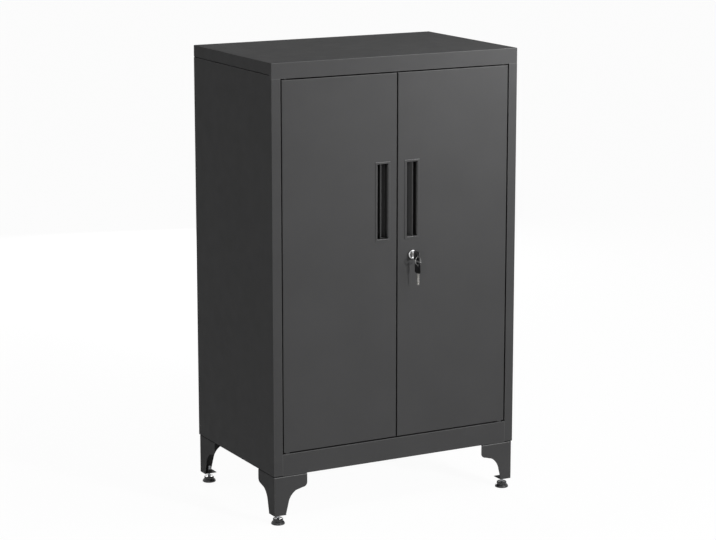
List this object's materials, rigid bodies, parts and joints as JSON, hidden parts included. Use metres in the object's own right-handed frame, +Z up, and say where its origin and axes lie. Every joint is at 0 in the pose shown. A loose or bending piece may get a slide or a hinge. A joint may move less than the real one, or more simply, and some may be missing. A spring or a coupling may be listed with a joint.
{
  "type": "tool cabinet with doors",
  "caption": "Free-standing two-door steel cabinet on short pressed legs with levelling feet, with recessed handles, a cam lock with keys, and adjustable shelves behind the doors.",
  "frame": {"origin": "on the floor, under the middle of the cabinet's whole extent with its key in the lock", "axes": "+X to the right seen from the front, +Y to the back, +Z up; the doors face -Y"},
  "size_m": [0.6, 0.4238, 1],
  "materials": {
    "charcoal_powder_coat": "fine matte powder coat on steel sheet",
    "zinc_plated_steel": "dull zinc plating",
    "polished_chrome": "bright plating",
    "nickel_plated_steel": "bright nickel plating",
    "black_plastic": "satin moulded plastic"
  },
  "bodies": {
    "cabinet": {"top_cap": "charcoal_powder_coat", "header_rail": "charcoal_powder_coat", "left_side_panel": "charcoal_powder_coat", "right_side_panel": "charcoal_powder_coat", "back_panel": "charcoal_powder_coat", "back_rivets": "charcoal_powder_coat", "floor_panel": "charcoal_powder_coat", "upper_hinge_bushes": "black_plastic", "lower_hinge_bushes": "black_plastic", "left_shelf_uprights": "charcoal_powder_coat", "right_shelf_uprights": "charcoal_powder_coat", "lower_shelf": "charcoal_powder_coat", "upper_shelf": "charcoal_powder_coat", "lower_shelf_clips": "zinc_plated_steel", "upper_shelf_clips": "zinc_plated_steel", "upper_magnetic_catches": "black_plastic", "lower_magnetic_catches": "black_plastic", "catch_screws": "zinc_plated_steel", "leg_bolts": "zinc_plated_steel", "leg_nuts": "zinc_plated_steel", "foot_nuts": "charcoal_powder_coat", "front_left_leg": "charcoal_powder_coat", "front_right_leg": "charcoal_powder_coat", "back_left_leg": "charcoal_powder_coat", "back_right_leg": "charcoal_powder_coat"},
    "left_door": {"left_door_panel": "charcoal_powder_coat", "left_door_stiffener": "charcoal_powder_coat", "left_handle": "charcoal_powder_coat", "left_hinge_pins": "charcoal_powder_coat", "left_strike_plates": "zinc_plated_steel"},
    "right_door": {"right_door_panel": "charcoal_powder_coat", "right_door_stiffener": "charcoal_powder_coat", "right_handle": "charcoal_powder_coat", "right_hinge_pins": "charcoal_powder_coat", "right_strike_plates": "zinc_plated_steel", "lock_housing": "polished_chrome", "lock_nut": "zinc_plated_steel"},
    "lock_core": {"lock_plug": "polished_chrome", "lock_cam": "zinc_plated_steel", "cam_screw": "zinc_plated_steel", "key_head": "black_plastic", "key_blade": "nickel_plated_steel"},
    "key_ring": {"key_ring": "nickel_plated_steel"},
    "spare_key": {"spare_key_head": "black_plastic", "spare_key_blade": "nickel_plated_steel"},
    "front_left_foot": {"front_left_foot_pad": "black_plastic"},
    "front_left_stud": {"front_left_foot_stud": "zinc_plated_steel"},
    "front_right_foot": {"front_right_foot_pad": "black_plastic"},
    "front_right_stud": {"front_right_foot_stud": "zinc_plated_steel"},
    "back_left_foot": {"back_left_foot_pad": "black_plastic"},
    "back_left_stud": {"back_left_foot_stud": "zinc_plated_steel"},
    "back_right_foot": {"back_right_foot_pad": "black_plastic"},
    "back_right_stud": {"back_right_foot_stud": "zinc_plated_steel"}
  },
  "joints": [
    {"name": "left_door_hinge", "type": "hinge", "parent": "cabinet", "child": "left_door", "pos_m": [-0.266, -0.1693, 0.562], "axis": [0, 0, -1], "range_deg": [0, 120]},
    {"name": "right_door_hinge", "type": "hinge", "parent": "cabinet", "child": "right_door", "pos_m": [0.266, -0.1693, 0.562], "axis": [0, 0, 1], "range_deg": [0, 120]},
    {"name": "lock_turn", "type": "hinge", "parent": "right_door", "child": "lock_core", "pos_m": [0.037, -0.1753, 0.5655], "axis": [0, 1, 0], "range_deg": [0, 90]},
    {"name": "key_ring_swing", "type": "hinge", "parent": "lock_core", "child": "key_ring", "pos_m": [0.037, -0.2018, 0.564], "axis": [0.9455, 0.3256, 0], "range_deg": [-40, 10]},
    {"name": "spare_key_swing", "type": "hinge", "parent": "key_ring", "child": "spare_key", "pos_m": [0.037, -0.2018, 0.5468], "axis": [0.9877, 0.1564, 0], "range_deg": [-30, 10]},
    {"name": "front_left_foot_travel", "type": "slide", "parent": "cabinet", "child": "front_left_foot", "axis": [0, 0, 1], "range_m": [-0.008, 0.008]},
    {"name": "front_left_stud_turn", "type": "hinge", "parent": "front_left_foot", "child": "front_left_stud", "pos_m": [-0.2835, -0.1588, 0.02], "axis": [0, 0, 1], "range_deg": [-2890, 2890]},
    {"name": "front_right_foot_travel", "type": "slide", "parent": "cabinet", "child": "front_right_foot", "axis": [0, 0, 1], "range_m": [-0.008, 0.008]},
    {"name": "front_right_stud_turn", "type": "hinge", "parent": "front_right_foot", "child": "front_right_stud", "pos_m": [0.2835, -0.1588, 0.02], "axis": [0, 0, 1], "range_deg": [-2890, 2890]},
    {"name": "back_left_foot_travel", "type": "slide", "parent": "cabinet", "child": "back_left_foot", "axis": [0, 0, 1], "range_m": [-0.008, 0.008]},
    {"name": "back_left_stud_turn", "type": "hinge", "parent": "back_left_foot", "child": "back_left_stud", "pos_m": [-0.2835, 0.1942, 0.02], "axis": [0, 0, 1], "range_deg": [-2890, 2890]},
    {"name": "back_right_foot_travel", "type": "slide", "parent": "cabinet", "child": "back_right_foot", "axis": [0, 0, 1], "range_m": [-0.008, 0.008]},
    {"name": "back_right_stud_turn", "type": "hinge", "parent": "back_right_foot", "child": "back_right_stud", "pos_m": [0.2835, 0.1942, 0.02], "axis": [0, 0, 1], "range_deg": [-2890, 2890]}
  ],
  "couplings": [
    {"joint": "front_left_stud_turn", "follows": "front_left_foot_travel", "rad_per_m": 6283.2},
    {"joint": "front_right_stud_turn", "follows": "front_right_foot_travel", "rad_per_m": 6283.2},
    {"joint": "back_left_stud_turn", "follows": "back_left_foot_travel", "rad_per_m": 6283.2},
    {"joint": "back_right_stud_turn", "follows": "back_right_foot_travel", "rad_per_m": 6283.2}
  ]
}
